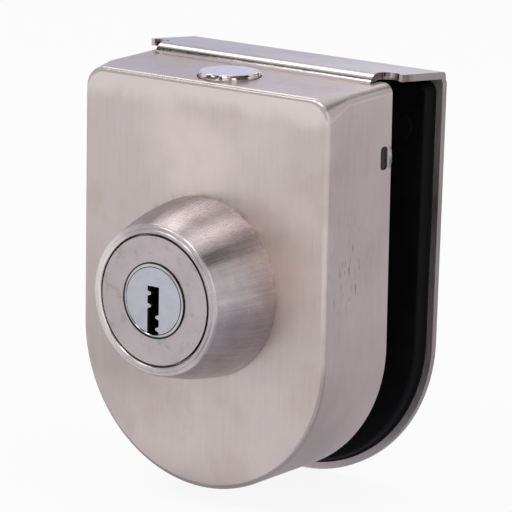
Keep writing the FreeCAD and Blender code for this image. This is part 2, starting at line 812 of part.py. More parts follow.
# Rack plate: an arm behind the bolt and a toothed bar beside the pinion
def make_bolt_rack():
    count = round((cylinder_z + (rack_spare_teeth + 1) * tooth_pitch - rack_low) / tooth_pitch)
    flank = math.tan(math.radians(pressure_angle))
    half_tip = tooth_pitch / 4 - backlash / 4 - (pitch_radius - rack_tip) * flank
    half_root = tooth_pitch / 4 - backlash / 4 + (rack_root - pitch_radius) * flank
    corners = [(rack_edge, rack_bottom, 0), (rack_edge, rack_arm_top, 0), (-rack_arm_left, rack_arm_top, 0)]
    corners += [(-rack_arm_left, rack_arm_bottom, 0), (rack_root, rack_arm_bottom, 0)]
    for index in range(count):
        middle = cylinder_z + (rack_spare_teeth + 0.5 - index) * tooth_pitch
        corners += [(rack_root, middle + half_root, 0), (rack_tip, middle + half_tip, 0)]
        corners += [(rack_tip, middle - half_tip, 0), (rack_root, middle - half_root, 0)]
    corners.append((rack_root, rack_bottom, 0))
    rack = plate(outline(corners, front_view(rack_front)), rack_thickness)
    for x, z in rack_screw_places():
        hole_radius = rack_screw_radius + screw_hole_clearance
        rack = rack.cut(rod_y(hole_radius, rack_front - cut_over, rack_rear + cut_over, x, z))
    return rack


def make_rack_screws():
    screws = []
    for x, z in rack_screw_places():
        head = rod_y(rack_screw_head_radius, rack_rear, rack_rear + rack_screw_head_height, x, z)
        shank = rod_y(rack_screw_radius, rack_rear - rack_screw_length, rack_rear, x, z)
        screws.append(head.fuse(shank).removeSplitter())
    return Part.makeCompound(screws)


# Frame on the base plate, with the bolt's bush in its top wall
def make_bolt_guide_bush():
    bush = rod_z(bush_radius, frame_top_bottom, frame_top)
    return bush.cut(rod_z(bolt_radius + bush_clearance, frame_top_bottom - cut_over, frame_top + cut_over))


def make_mechanism_frame():
    inner_half = frame_half_width - frame_wall
    top_wall = block(
        -frame_half_width, frame_half_width, frame_front, base_front, frame_top_bottom, frame_top
    )
    walls = [
        block(-frame_half_width, -inner_half, frame_side_front, base_front, frame_bottom, frame_top),
        block(inner_half, frame_half_width, frame_side_front, base_front, frame_bottom, frame_top),
        block(
            -frame_half_width, frame_half_width, frame_side_front, base_front,
            frame_bottom, frame_bottom + frame_bottom_wall
        ),
    ]
    for x, z in frame_screw_places:
        side = 1 if x > 0 else -1
        outer = side * (frame_half_width + lug_reach)
        near, far = sorted((side * inner_half, outer))
        walls.append(
            block(near, far, base_front - lug_thickness, base_front, z - lug_width / 2, z + lug_width / 2)
        )
    frame = top_wall.fuse(walls).removeSplitter()
    for x, z in frame_screw_places:
        hole_radius = frame_screw_radius + frame_hole_clearance
        hole = rod_y(hole_radius, base_front - lug_thickness - cut_over, base_front + cut_over, x, z)
        frame = frame.cut(hole)
    frame = frame.cut(rod_z(bush_radius, frame_top_bottom - cut_over, frame_top + cut_over))
    groove = block(
        0, rack_edge + rack_groove_clearance, rack_front - rack_groove_clearance,
        rack_rear + rack_groove_clearance, frame_bottom + frame_bottom_wall, frame_top_bottom
    )
    return frame.cut(groove)


def make_frame_screws():
    seat = base_front - lug_thickness
    screws = []
    for x, z in frame_screw_places:
        head = rod_y(frame_screw_head_radius, seat - frame_screw_head_height, seat, x, z)
        shank = rod_y(frame_screw_radius, seat, base_rear, x, z)
        screws.append(head.fuse(shank).removeSplitter())
    return Part.makeCompound(screws)


pieces = {
    "front_cover": make_front_cover(),
    "clamp_bracket": make_clamp_bracket(),
    "rear_pad": make_rear_pad(),
    "pressure_plate": make_pressure_plate(),
    "pressure_pad": make_pressure_pad(),
    "clamp_nuts": make_clamp_nuts(),
    "collar": make_collar(),
    "collar_face_disc": make_collar_face_disc(),
    "cylinder_barrel": make_cylinder_barrel(),
    "cylinder_washer": make_cylinder_washer(),
    "cylinder_nut": make_cylinder_nut(),
    "key_plug": make_key_plug(),
    "wafers": make_wafers(),
    "wafer_springs": make_wafer_springs(),
    "plug_clip": clip_ring(clip_groove_radius, clip_radius, clip_gap),
    "drive_pinion": make_drive_pinion(),
    "pinion_screw": make_pinion_screw(),
    "bolt": make_bolt(),
    "bolt_rack": make_bolt_rack(),
    "rack_screws": make_rack_screws(),
    "bolt_guide_bush": make_bolt_guide_bush(),
    "mechanism_frame": make_mechanism_frame(),
    "frame_screws": make_frame_screws(),
}
for name, (screw_x, screw_z) in clamp_screw_places.items():
    pieces["clamp_screw_" + name] = make_clamp_screw(screw_x, screw_z)

os.makedirs("parts", exist_ok=True)
for name, shape in pieces.items():
    shape.translate(origin * -1)
    shape.exportStep(os.path.join("parts", name + ".step"))
    print(name, "solids", len(shape.Solids), "valid", shape.isValid(), "volume", round(shape.Volume, 1))
print("origin", origin, "throw", round(bolt_throw, 4), "metres per radian", pitch_radius / 1000)
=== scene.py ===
import math

import bmesh
import bpy
from mathutils import Matrix, Vector


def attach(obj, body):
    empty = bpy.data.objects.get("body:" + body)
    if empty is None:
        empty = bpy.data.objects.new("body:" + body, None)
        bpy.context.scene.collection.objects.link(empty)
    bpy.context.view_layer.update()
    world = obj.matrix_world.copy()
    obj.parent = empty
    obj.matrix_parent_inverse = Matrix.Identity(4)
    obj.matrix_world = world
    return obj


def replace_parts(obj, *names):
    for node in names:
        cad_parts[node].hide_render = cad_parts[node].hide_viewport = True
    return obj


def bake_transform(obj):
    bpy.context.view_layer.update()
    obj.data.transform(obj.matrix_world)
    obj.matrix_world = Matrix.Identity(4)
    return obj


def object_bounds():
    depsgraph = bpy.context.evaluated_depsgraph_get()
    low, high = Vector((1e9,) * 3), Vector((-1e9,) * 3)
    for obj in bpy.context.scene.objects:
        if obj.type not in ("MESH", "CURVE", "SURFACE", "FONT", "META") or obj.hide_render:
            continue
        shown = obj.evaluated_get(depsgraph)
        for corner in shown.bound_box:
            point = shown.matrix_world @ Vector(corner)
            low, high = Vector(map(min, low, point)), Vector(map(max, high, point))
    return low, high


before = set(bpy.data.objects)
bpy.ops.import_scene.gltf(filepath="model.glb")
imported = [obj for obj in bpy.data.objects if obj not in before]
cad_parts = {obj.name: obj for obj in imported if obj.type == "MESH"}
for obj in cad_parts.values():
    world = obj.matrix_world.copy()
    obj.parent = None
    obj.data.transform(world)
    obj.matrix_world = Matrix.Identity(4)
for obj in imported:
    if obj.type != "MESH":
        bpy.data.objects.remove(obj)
cad_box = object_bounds()
MM = 0.001


def direction(azimuth, elevation):
    """Unit vector towards an azimuth, 0 in front of the lock, and an elevation, both in degrees."""
    a, e = math.radians(azimuth), math.radians(elevation)
    return Vector((math.sin(a) * math.cos(e), -math.cos(a) * math.cos(e), math.sin(e)))


def add_object(name, data):
    """Object of the data, linked to the scene."""
    thing = bpy.data.objects.new(name, data)
    bpy.context.scene.collection.objects.link(thing)
    return thing


# Camera, fitted to the photograph; angles in degrees, lengths in metres
CAMERA_AZIMUTH = 36.34
CAMERA_ELEVATION = 13.02
CAMERA_ROLL = -0.97
CAMERA_DISTANCE = 0.9357
AIM = Vector((0.0, -0.0239, -0.0490739))
OFFSET_RIGHT = 0.00554
OFFSET_UP = 0.00542
CLIP_START = 0.01
CLIP_END = 20.0
FOCAL_PIXELS = 3900.0
FRAME_PIXELS = 512.0
SENSOR_MM = 36.0


def make_camera():
    azimuth, roll = math.radians(CAMERA_AZIMUTH), math.radians(CAMERA_ROLL)
    back = direction(CAMERA_AZIMUTH, CAMERA_ELEVATION)
    level_right = Vector((math.cos(azimuth), math.sin(azimuth), 0))
    level_up = back.cross(level_right)
    right = level_right * math.cos(roll) - level_up * math.sin(roll)
    up = level_right * math.sin(roll) + level_up * math.cos(roll)
    spot = AIM + right * OFFSET_RIGHT + up * OFFSET_UP + back * CAMERA_DISTANCE
    data = bpy.data.cameras.new("camera")
    data.sensor_width = SENSOR_MM
    data.lens = FOCAL_PIXELS / FRAME_PIXELS * SENSOR_MM
    data.clip_start = CLIP_START
    data.clip_end = CLIP_END
    camera = add_object("camera", data)
    turn = Matrix((right, up, back)).transposed().to_4x4()
    camera.matrix_world = Matrix.Translation(spot) @ turn
    bpy.context.scene.camera = camera


class Nodes:
    """Short calls that add shader nodes; a value is a number, a colour or another node's output."""

    def __init__(self, owner):
        owner.use_nodes = True
        self.tree = owner.node_tree

    def add(self, kind, values=(), **settings):
        node = self.tree.nodes.new(kind)
        for key, value in settings.items():
            setattr(node, key, value)
        for key, value in dict(values).items():
            self.put(node.inputs[key], value)
        return node

    def put(self, socket, value):
        if isinstance(value, bpy.types.NodeSocket):
            self.tree.links.new(value, socket)
        elif hasattr(value, "__len__") and socket.type == "RGBA" and len(value) == 3:
            socket.default_value = (*value, 1.0)
        else:
            socket.default_value = value

    def math(self, operation, first, second=0.0):
        values = {0: first, 1: second}
        return self.add("ShaderNodeMath", values, operation=operation).outputs[0]

    def product(self, first, *others):
        for other in others:
            first = self.math("MULTIPLY", first, other)
        return first

    def largest(self, first, *others):
        for other in others:
            first = self.math("MAXIMUM", first, other)
        return first


class Finish(Nodes):
    """Material of a part of the lock; Object coordinates are in metres."""

    def __init__(self, name):
        self.material = bpy.data.materials.new(name)
        super().__init__(self.material)
        self.shader = self.tree.nodes["Principled BSDF"]
        coords = self.add("ShaderNodeTexCoord")
        self.place = coords.outputs["Object"]
        self.normal = coords.outputs["Normal"]

    def set(self, **values):
        for key, value in values.items():
            self.put(self.shader.inputs[key.replace("_", " ")], value)

    def length(self, first, second):
        """Length of the longest side of a right triangle, from its other two."""
        squares = self.math("ADD", self.product(first, first), self.product(second, second))
        return self.math("SQRT", squares)

    def vector(self, operation, first, second):
        values = {0: first, 1: second}
        return self.add("ShaderNodeVectorMath", values, operation=operation).outputs["Vector"]

    def split(self, vector):
        return self.add("ShaderNodeSeparateXYZ", {0: vector}).outputs

    def join(self, x, y, z):
        return self.add("ShaderNodeCombineXYZ", {0: x, 1: y, 2: z}).outputs[0]

    def noise(self, where, scale=1.0, detail=3.0, roughness=0.55):
        values = {"Vector": where, "Scale": scale, "Detail": detail, "Roughness": roughness}
        return self.add("ShaderNodeTexNoise", values).outputs["Fac"]

    def stretched(self, scales, shift=(0, 0, 0)):
        return self.vector("ADD", self.vector("MULTIPLY", self.place, scales), shift)

    def spread(self, value, low, high, to_low=0.0, to_high=1.0):
        """Smooth change from to_low to to_high while the value goes from low to high."""
        values = {
            "Value": value, "From Min": low, "From Max": high, "To Min": to_low, "To Max": to_high,
        }
        node = self.add("ShaderNodeMapRange", values, interpolation_type="SMOOTHSTEP")
        return node.outputs["Result"]

    def between(self, value, low_side, high_side):
        """1 between two limits of a value; each side says where 0 ends and where 1 starts."""
        return self.product(self.spread(value, *low_side), self.spread(value, *high_side))

    def mix(self, share, first, second):
        """Colour that goes from first to second as share goes from 0 to 1."""
        values = {"Factor": share, 6: first, 7: second}
        return self.add("ShaderNodeMix", values, data_type="RGBA").outputs[2]

    def choose(self, share, first, second):
        """Number that goes from first to second as share goes from 0 to 1."""
        values = {0: share, 2: first, 3: second}
        return self.add("ShaderNodeMix", values, data_type="FLOAT").outputs[0]

    def shaded(self, tone, shade):
        """A colour times a number."""
        values = {0: 1.0, 6: tone, 7: self.join(shade, shade, shade)}
        node = self.add("ShaderNodeMix", values, data_type="RGBA", blend_type="MULTIPLY")
        return node.outputs[2]

    def bump(self, height, distance, strength):
        values = {"Height": height, "Distance": distance, "Strength": strength}
        return self.add("ShaderNodeBump", values).outputs["Normal"]

    def round_axis(self, axis):
        """Tangent that runs round an axis."""
        return self.add("ShaderNodeTangent", direction_type="RADIAL", axis=axis).outputs[0]

    def turned(self, centre, axis, fine, around=2.5):
        """Coordinates that hardly change round an axis, for turning marks, and the radius."""
        x, y, z = self.split(self.vector("SUBTRACT", self.place, centre))
        first, second, along = {"Y": (x, z, y), "Z": (x, y, z)}[axis]
        radius = self.length(first, second)
        divisor = self.math("ADD", radius, 1e-5)
        first = self.product(self.math("DIVIDE", first, divisor), around)
        second = self.product(self.math("DIVIDE", second, divisor), around)
        third = self.product(self.math("ADD", along, radius), fine)
        return self.join(first, second, third), radius


# Places that the materials use, in metres
CYLINDER_CENTRE = (0.0, -0.0362, -0.048852)
BOLT_CENTRE = (0.0, -0.02655, 0.0)
PLUG_FACE = -0.05495
BARREL_RIM_INSIDE = 0.00805
BARREL_RIM_OUTSIDE = 0.00915
BOLT_RING = 0.0036
COLLAR_EDGE_ON_COVER = (0.0235, 0.0219)
COVER_SIDE = (0.0355, 0.0358)
EAR_START = (0.0342, 0.0346)

GRAIN_DEPTH = 0.00002
RUBBER_GRAIN_DEPTH = 0.00004

# Colours of marks, and of painted highlights, reflections and shade
STAIN = (0.47, 0.37, 0.335)
SPECK = (0.25, 0.19, 0.16)
RUST = (0.42, 0.27, 0.2)
SCUFF = (0.2, 0.17, 0.17)
PAINTED_TOP_HIGHLIGHT = (0.76, 0.69, 0.68)
CUT_EDGE = (0.12, 0.085, 0.07)
EAR_PAINTED_SHADE = (0.05, 0.048, 0.05)
PAINTED_RIM_HIGHLIGHT = (0.84, 0.76, 0.76)
BROWN_SCUFF = (0.3, 0.25, 0.24)
CHROME_DARK_REFLECTION = (0.04, 0.03, 0.025)
BARREL_SHADE = (0.02, 0.02, 0.02)
KEYWAY_SHADE_BLACK = (0.015, 0.012, 0.01)
KEYWAY_SHADE_BROWN = (0.16, 0.07, 0.045)

# Painted sheen and shade on the cover's front, as lighter and darker tinted patches, in metres:
# right of and above the cylinder's axis and the size, then the share and the colour
SHEEN = (
    (0.025, 0.010, 0.02, 0.75, (0.8, 0.63, 0.56)),
    (-0.004, 0.033, 0.02, 0.7, (0.78, 0.67, 0.63)),
    (0.016, 0.036, 0.016, 0.5, (0.72, 0.62, 0.6)),
    (-0.022, -0.034, 0.02, 0.7, (0.5, 0.42, 0.41)),
)


def brushed_sheet(name, light, dark, cool, roughness, polished):
    """Drawn steel sheet, brushed along Z or, where it faces up, along Y; smoother at its bends."""
    f = Finish(name)
    facing = f.split(f.normal)
    upward = f.spread(facing[2], 0.6, 0.8)

    def brushing(across, along):
        """Noise drawn out along the brushing."""
        upright = f.noise(f.stretched((across, across, along)))
        return f.choose(upward, upright, f.noise(f.stretched((across, along, along))))

    lines = f.math("ADD", f.product(brushing(2600, 50), 0.6), f.product(brushing(7000, 160), 0.4))
    cloud = f.noise(f.place, 38.0, 4.0, 0.6)
    mottle = f.noise(f.stretched((1, 1, 0.6), (3.1, 1.7, 0.4)), 190.0, 4.0, 0.65)
    stains = f.noise(f.stretched((1, 1, 0.8), (7.3, 2.9, 1.1)), 85.0, 5.0, 0.62)
    specks = f.noise(f.place, 1300.0, 2.0, 0.5)
    tone = f.mix(f.spread(cloud, 0.35, 0.68), dark, light)
    tone = f.mix(f.product(f.spread(mottle, 0.42, 0.7), 0.35), tone, cool)
    tone = f.mix(f.spread(stains, 0.5, 0.68, 0.0, 0.32), tone, STAIN)
    tone = f.mix(f.spread(specks, 0.74, 0.78, 0.0, 0.6), tone, SPECK)
    tone = f.shaded(tone, f.spread(lines, 0.2, 0.8, 0.92, 1.07))
    # Painted light: upward faces are darker towards -X and lighter towards +X
    painted_light_to_right = f.spread(f.split(f.place)[0], -0.005, 0.022, 0.95, 1.12)
    tone = f.shaded(tone, f.choose(upward, 1.0, painted_light_to_right))

    forward = f.math("ABSOLUTE", facing[1])
    bent = f.between(forward, (0.06, 0.25), (0.985, 0.93))
    rounded = f.between(facing[2], (0.06, 0.25), (0.985, 0.93))
    gloss = f.largest(bent, f.product(rounded, f.spread(facing[2], 0.3, 0.55)))
    grain = f.spread(lines, 0.2, 0.8, roughness - 0.07, roughness + 0.07)
    rough = f.math("ADD", grain, f.spread(cloud, 0.3, 0.7, -0.03, 0.04))
    rough = f.math("SUBTRACT", rough, f.product(gloss, polished))
    relief = f.math("SUBTRACT", 0.5, f.product(f.largest(bent, rounded), 0.48))
    f.set(
        Base_Color=tone, Metallic=1.0, Roughness=rough, Anisotropic=0.6,
        Normal=f.bump(lines, GRAIN_DEPTH, relief),
        Tangent=f.mix(upward, f.round_axis("Z"), (1.0, 0.0, 0.0)),
    )
    f.tone, f.facing = tone, facing
    return f


def make_cover_steel():
    """The cover's steel, with a painted highlight band under the top edge, painted shade low on
    that edge's rounding, and rust and painted sheen and shade by the collar.
    """
    f = brushed_sheet(
        "cover_steel", light=(0.63, 0.556, 0.542), dark=(0.565, 0.49, 0.48),
        cool=(0.56, 0.51, 0.53), roughness=0.36, polished=0.05,
    )
    x, y, z = f.split(f.place)
    front = f.spread(f.facing[1], -0.6, -0.9)

    # Painted highlight: a light band under the top front edge, with a ragged lower limit
    ragged = f.noise(f.stretched((500, 500, 110)), 1.0, 3.0, 0.7)
    ragged = f.spread(ragged, 0.3, 0.7, -0.0004, 0.0004)
    wave = f.noise(f.stretched((80, 80, 60)), 1.0, 3.0, 0.6)
    wave = f.spread(wave, 0.3, 0.7, -0.0012, 0.0012)
    band = f.spread(f.math("ADD", z, f.math("ADD", ragged, wave)), -0.0075, -0.0025)
    band = f.product(band, f.spread(x, -0.03, 0.03, 0.65, 0.85))
    tone = f.mix(f.product(band, front), f.tone, PAINTED_TOP_HIGHLIGHT)

    out = f.split(f.vector("SUBTRACT", f.place, CYLINDER_CENTRE))
    stain = f.spread(f.noise(f.place, 260.0, 4.0, 0.65), 0.42, 0.66)
    rust = f.product(f.spread(f.length(out[0], out[2]), *COLLAR_EDGE_ON_COVER), stain)
    rust = f.product(rust, f.spread(out[2], -0.012, 0.014, 0.25, 0.85))
    tone = f.mix(f.product(rust, front), tone, RUST)

    # Painted sheen and shade: lighter and darker tinted patches on the front
    blotch = f.spread(f.noise(f.place, 70.0, 3.0, 0.5), 0.25, 0.65)
    for along, above, size, share, colour in SHEEN:
        away = f.length(f.math("SUBTRACT", out[0], along), f.math("SUBTRACT", out[2], above))
        sheen = f.product(f.spread(away, size, size / 5), blotch, share)
        tone = f.mix(f.product(sheen, front), tone, colour)

    beside = f.between(y, (-0.037, -0.030), (-0.017, -0.024))
    beside = f.product(beside, f.between(z, (-0.055, -0.046), (-0.026, -0.033)))
    beside = f.product(beside, f.spread(x, *COVER_SIDE))
    streaks = f.noise(f.stretched((1400, 1400, 260), (0.0, 4.0, 1.5)), 1.0, 2.0, 0.5)
    tone = f.mix(f.product(beside, f.spread(streaks, 0.6, 0.68), 0.6), tone, SCUFF)

    # Painted shade: where the front turns up towards the top edge, the colour is darkened for a
    # dark reflection
    painted_shade_under_edge = f.product(f.between(f.facing[2], (0.04, 0.14), (0.72, 0.58)), front)
    f.set(Base_Color=f.shaded(tone, f.spread(painted_shade_under_edge, 0.0, 1.0, 1.0, 0.72)))
    return f


def make_clamp_steel():
    """The clamp's steel, with painted shade on its sideways faces, dark brown patches on its
    sheared edges near the reliefs, and painted shade on its ears.
    """
    f = brushed_sheet(
        "clamp_steel", light=(0.61, 0.55, 0.545), dark=(0.53, 0.475, 0.47),
        cool=(0.54, 0.505, 0.53), roughness=0.34, polished=0.19,
    )
    x, y, z = f.split(f.place)
    sideways = f.math("ABSOLUTE", f.facing[0])
    cut = f.product(f.spread(sideways, 0.3, 0.6), f.spread(y, -0.0035, -0.0075))
    cut = f.product(cut, f.spread(z, -0.01, -0.004), f.spread(x, -0.01, 0.01, 0.2, 1.0))
    cut = f.product(cut, f.spread(f.noise(f.place, 700.0, 3.0, 0.6), 0.35, 0.6, 0.45, 1.0))
    # Painted shade: faces that point sideways are darkened
    tone = f.shaded(f.tone, f.spread(sideways, 0.4, 0.8, 1.0, 0.68))
    tone = f.mix(f.product(cut, 0.85), tone, CUT_EDGE)
    # Painted shade: the ears inside the cover's slots are made near black
    ears = f.product(f.spread(f.math("ABSOLUTE", x), *EAR_START), f.spread(y, -0.0095, -0.0105))
    f.set(Base_Color=f.mix(ears, tone, EAR_PAINTED_SHADE))
    return f


def turned_metal(name, centre, axis, light, dark, roughness, anisotropic, marked):
    """Turned metal; marked says how strongly its rings show."""
    f = Finish(name)
    marks, f.radius = f.turned(centre, axis, fine=4200.0)
    lines = f.noise(marks, 1.0, 3.0, 0.6)
    cloud = f.noise(f.place, 90.0, 4.0, 0.6)
    shade = f.spread(lines, 0.2, 0.8, 1 - 0.1 * marked, 1 + 0.06 * marked)
    f.tone = f.shaded(f.mix(f.spread(cloud, 0.35, 0.68), dark, light), shade)
    f.rough = f.spread(lines, 0.2, 0.8, roughness - 0.06 * marked, roughness + 0.06 * marked)
    f.set(
        Base_Color=f.tone, Metallic=1.0, Roughness=f.rough, Anisotropic=anisotropic,
        Normal=f.bump(lines, GRAIN_DEPTH, 0.4 * marked),
    )
    if anisotropic:
        f.set(Anisotropic_Rotation=0.25, Tangent=f.round_axis(axis))
    return f


def make_collar_steel():
    """Steel whose flank is brushed along the axis, with a painted highlight on its rolled rim's
    left.
    """
    f = turned_metal(
        "collar_steel", CYLINDER_CENTRE, "Y", light=(0.56, 0.505, 0.52),
        dark=(0.455, 0.41, 0.425), roughness=0.27, anisotropic=0.9, marked=0.0,
    )
    flank = f.spread(f.split(f.normal)[1], -0.75, -0.55)
    along_axis = f.turned(CYLINDER_CENTRE, "Y", fine=40.0, around=50.0)[0]
    strokes = f.choose(flank, 0.5, f.noise(along_axis, 1.0, 4.0, 0.6))
    patches = f.noise(f.place, 150.0, 4.0, 0.6)
    shade = f.product(
        f.spread(strokes, 0.3, 0.7, 0.93, 1.06), f.spread(patches, 0.3, 0.7, 0.92, 1.06)
    )
    x, y, _ = f.split(f.place)
    # Painted highlight: the left part of the rolled rim is made lighter
    rim = f.product(f.spread(y, -0.0535, -0.0545), f.spread(x, -0.006, -0.0145), 0.85)
    rough = f.math("ADD", f.rough, f.spread(strokes, 0.3, 0.7, -0.04, 0.04))
    f.set(
        Base_Color=f.mix(rim, f.shaded(f.tone, shade), PAINTED_RIM_HIGHLIGHT),
        Roughness=f.choose(flank, 0.34, rough), Anisotropic=f.choose(flank, 0.3, 0.9),
    )
    return f


def make_disc_steel():
    """Satin disc with a few brownish scuffs."""
    f = turned_metal(
        "disc_steel", CYLINDER_CENTRE, "Y", light=(0.565, 0.5, 0.52),
        dark=(0.52, 0.46, 0.48), roughness=0.4, anisotropic=0.2, marked=0.4,
    )
    scuffs = f.noise(f.stretched((1, 1, 1), (0.7, 2.3, 5.1)), 260.0, 5.0, 0.75)
    f.set(Base_Color=f.mix(f.product(f.spread(scuffs, 0.53, 0.63), 0.35), f.tone, BROWN_SCUFF))
    return f


def make_bolt_chrome():
    """Chrome with painted dark reflections in patches on its rounded edge, and a faint ring and
    mark on its end.
    """
    f = turned_metal(
        "chrome", BOLT_CENTRE, "Z", light=(0.8, 0.74, 0.73),
        dark=(0.75, 0.69, 0.68), roughness=0.1, anisotropic=0.0, marked=0.5,
    )
    height, upward = f.split(f.place)[2], f.split(f.normal)[2]
    # Painted reflection: dark patches on the rounded top edge
    edge = f.product(f.spread(upward, 0.97, 0.85), f.spread(height, 0.0005, 0.0012))
    patches = f.spread(f.noise(f.place, 330.0, 2.0, 0.5), 0.47, 0.53)
    tone = f.mix(f.product(edge, patches, 0.9), f.tone, CHROME_DARK_REFLECTION)
    off_ring = f.math("ABSOLUTE", f.math("SUBTRACT", f.radius, BOLT_RING))
    marks = f.largest(f.spread(off_ring, 0.00035, 0.0001), f.spread(f.radius, 0.0007, 0.0002))
    f.set(Base_Color=f.shaded(tone, f.spread(marks, 0.0, 1.0, 1.0, 0.9)))
    return f


def make_barrel_chrome():
    """Chrome rim, with dark lines at the gaps along its edges, partly dirt and partly painted
    shade, and painted shade inside; the outer line widens at lower left as painted shade.
    """
    f = turned_metal(
        "barrel_chrome", CYLINDER_CENTRE, "Y", light=(0.6, 0.6, 0.62),
        dark=(0.5, 0.5, 0.52), roughness=0.12, anisotropic=0.0, marked=0.5,
    )
    x, _, z = f.split(f.vector("SUBTRACT", f.place, CYLINDER_CENTRE))
    # Painted shade: the outer dark line is widened towards the lower left, and the rim is dark
    # further in from the plug's face
    to_lower_left = f.math("ADD", f.product(x, -0.85), f.product(z, -0.5))
    widened = f.math("ADD", f.radius, f.spread(to_lower_left, -0.003, 0.008, 0.0, 0.0005))
    outer = f.spread(widened, BARREL_RIM_OUTSIDE - 0.0004, BARREL_RIM_OUTSIDE - 0.0002)
    inner = f.spread(f.radius, BARREL_RIM_INSIDE + 0.0002, BARREL_RIM_INSIDE + 0.00005)
    deep = f.spread(f.split(f.place)[1], PLUG_FACE + 0.0004, PLUG_FACE + 0.0012)
    f.set(Base_Color=f.mix(f.largest(outer, inner, deep), f.tone, BARREL_SHADE))
    return f


def plain_metal(name, light, dark, roughness, grain=600.0):
    """Metal with a fine grain and faint clouds."""
    f = Finish(name)
    grit = f.noise(f.place, grain, 4.0, 0.6)
    cloud = f.noise(f.place, grain / 8, 3.0, 0.55)
    f.tone = f.mix(f.spread(cloud, 0.35, 0.68), dark, light)
    f.set(
        Base_Color=f.tone, Metallic=1.0,
        Roughness=f.spread(grit, 0.3, 0.7, roughness - 0.06, roughness + 0.08),
        Normal=f.bump(grit, GRAIN_DEPTH, 0.4),
    )
    return f


def make_plug_nickel():
    """Satin nickel, with painted shade inside the keyway: black, and brown in its upper half."""
    f = plain_metal("plug_nickel", (0.56, 0.565, 0.63), (0.52, 0.525, 0.59), 0.33, grain=2500.0)
    _, y, z = f.split(f.place)
    # Painted shade: the keyway is dark inside, black below and brown in its upper half
    deep = f.spread(y, PLUG_FACE + 0.0002, PLUG_FACE + 0.0012)
    upper = f.spread(z, CYLINDER_CENTRE[2] + 0.0002, CYLINDER_CENTRE[2] + 0.0014)
    f.set(Base_Color=f.mix(deep, f.tone, f.mix(upper, KEYWAY_SHADE_BLACK, KEYWAY_SHADE_BROWN)))
    return f


def make_pad_rubber():
    """Matt black rubber."""
    f = Finish("pad_rubber")
    grit = f.noise(f.place, 2400.0, 3.0, 0.6)
    cloud = f.noise(f.place, 120.0, 4.0, 0.6)
    black, paler = (0.0012, 0.0012, 0.002), (0.0025, 0.0025, 0.0035)
    f.set(
        Base_Color=f.mix(f.spread(cloud, 0.35, 0.7), black, paler),
        Roughness=f.spread(cloud, 0.3, 0.7, 0.5, 0.66), Specular_IOR_Level=0.14,
        Normal=f.bump(grit, RUBBER_GRAIN_DEPTH, 0.5),
    )
    return f


cover_steel = make_cover_steel()
pad_rubber = make_pad_rubber()
spring_steel = plain_metal("spring_steel", (0.4, 0.4, 0.42), (0.3, 0.3, 0.32), 0.3)
# Painted shade: a darker steel for the slot beads, which are part of the cover's sheet
painted_shade_steel = plain_metal("painted_shade_steel", (0.4, 0.385, 0.39), (0.2, 0.19, 0.195), 0.26, grain=1500.0)
wafer_brass = plain_metal("wafer_brass", (0.35, 0.2, 0.09), (0.22, 0.12, 0.05), 0.35)
plated_steel = plain_metal("plated_steel", (0.6, 0.6, 0.57), (0.48, 0.49, 0.5), 0.38)
dark_steel = plain_metal("dark_steel", (0.1, 0.1, 0.11), (0.05, 0.05, 0.055), 0.4)
cast_zinc = plain_metal("cast_zinc", (0.5, 0.5, 0.52), (0.38, 0.38, 0.4), 0.5, grain=900.0)

MATERIALS = {
    "front_cover": cover_steel,
    "clamp_bracket": make_clamp_steel(),
    "rear_pad": pad_rubber,
    "pressure_plate": plated_steel,
    "pressure_pad": pad_rubber,
    "clamp_nuts": plated_steel,
    "clamp_screw_left": dark_steel,
    "clamp_screw_right": dark_steel,
    "clamp_screw_bottom": dark_steel,
    "collar": make_collar_steel(),
    "collar_face_disc": make_disc_steel(),
    "cylinder_barrel": make_barrel_chrome(),
    "cylinder_washer": plated_steel,
    "cylinder_nut": plated_steel,
    "key_plug": make_plug_nickel(),
    "wafers": wafer_brass,
    "wafer_springs": spring_steel,
    "plug_clip": spring_steel,
    "drive_pinion": plated_steel,
    "pinion_screw": dark_steel,
    "bolt": make_bolt_chrome(),
    "bolt_rack": plated_steel,
    "rack_screws": dark_steel,
    "bolt_guide_bush": wafer_brass,
    "mechanism_frame": cast_zinc,
    "frame_screws": dark_steel,
}
for name, finish in MATERIALS.items():
    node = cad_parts[name]
    node.data.materials.clear()
    node.data.materials.append(finish.material)


# Shapes that stand for soft parts, springs and thin trim. All their sizes are in millimetres, and
# their places are given from the cover's front face and its lowest point
COVER_BOTTOM = -98.452
COVER_FRONT = -36.2
SHARP_ANGLE = math.radians(35)

BOTTOM_STEPS = 120
CORNER_STEPS = 12
EDGE_STEPS = 8
SMALLEST_CORNER = 0.6

BACK_PLATE_DEPTH = 44.2
BACK_PLATE_TOP = 98.98
BACK_PLATE_LEAN = math.radians(1.4)
# Insets and depths of the rear pad's side, then radii and rises of its nub
REAR_PAD_SIDE = [(0.0, 0.0), (0.05, -0.3), (0.15, -0.42), (0.5, -0.5), (0.58, -0.62)]
NUB_PROFILE = [(3.8, 0.0), (3.7, 0.18), (3.4, 0.3), (2.8, 0.34), (1.4, 0.35)]
NUB_CENTRE = (27.6, -2.95, 86.0)
NUB_SIDES = 36

PRESSURE_PAD_DEPTH = 25.5
PRESSURE_PAD_SIDE = [(0.0, 0.0), (0.0, -0.4)]

SPRING_COUNT = 5
SPRING_PITCH = 2.6
FIRST_WAFER_DEPTH = -18.75 + 4.4
WAFER_MIDDLE = 0.5
SPRING_ACROSS = 4.9
SPRING_LOW = 46.6
SPRING_HIGH = 50.6
SPRING_TURNS = 8
STEPS_PER_TURN = 14
COIL_RADIUS = 0.41
WIRE_RADIUS = 0.08
WIRE_SIDES = 8

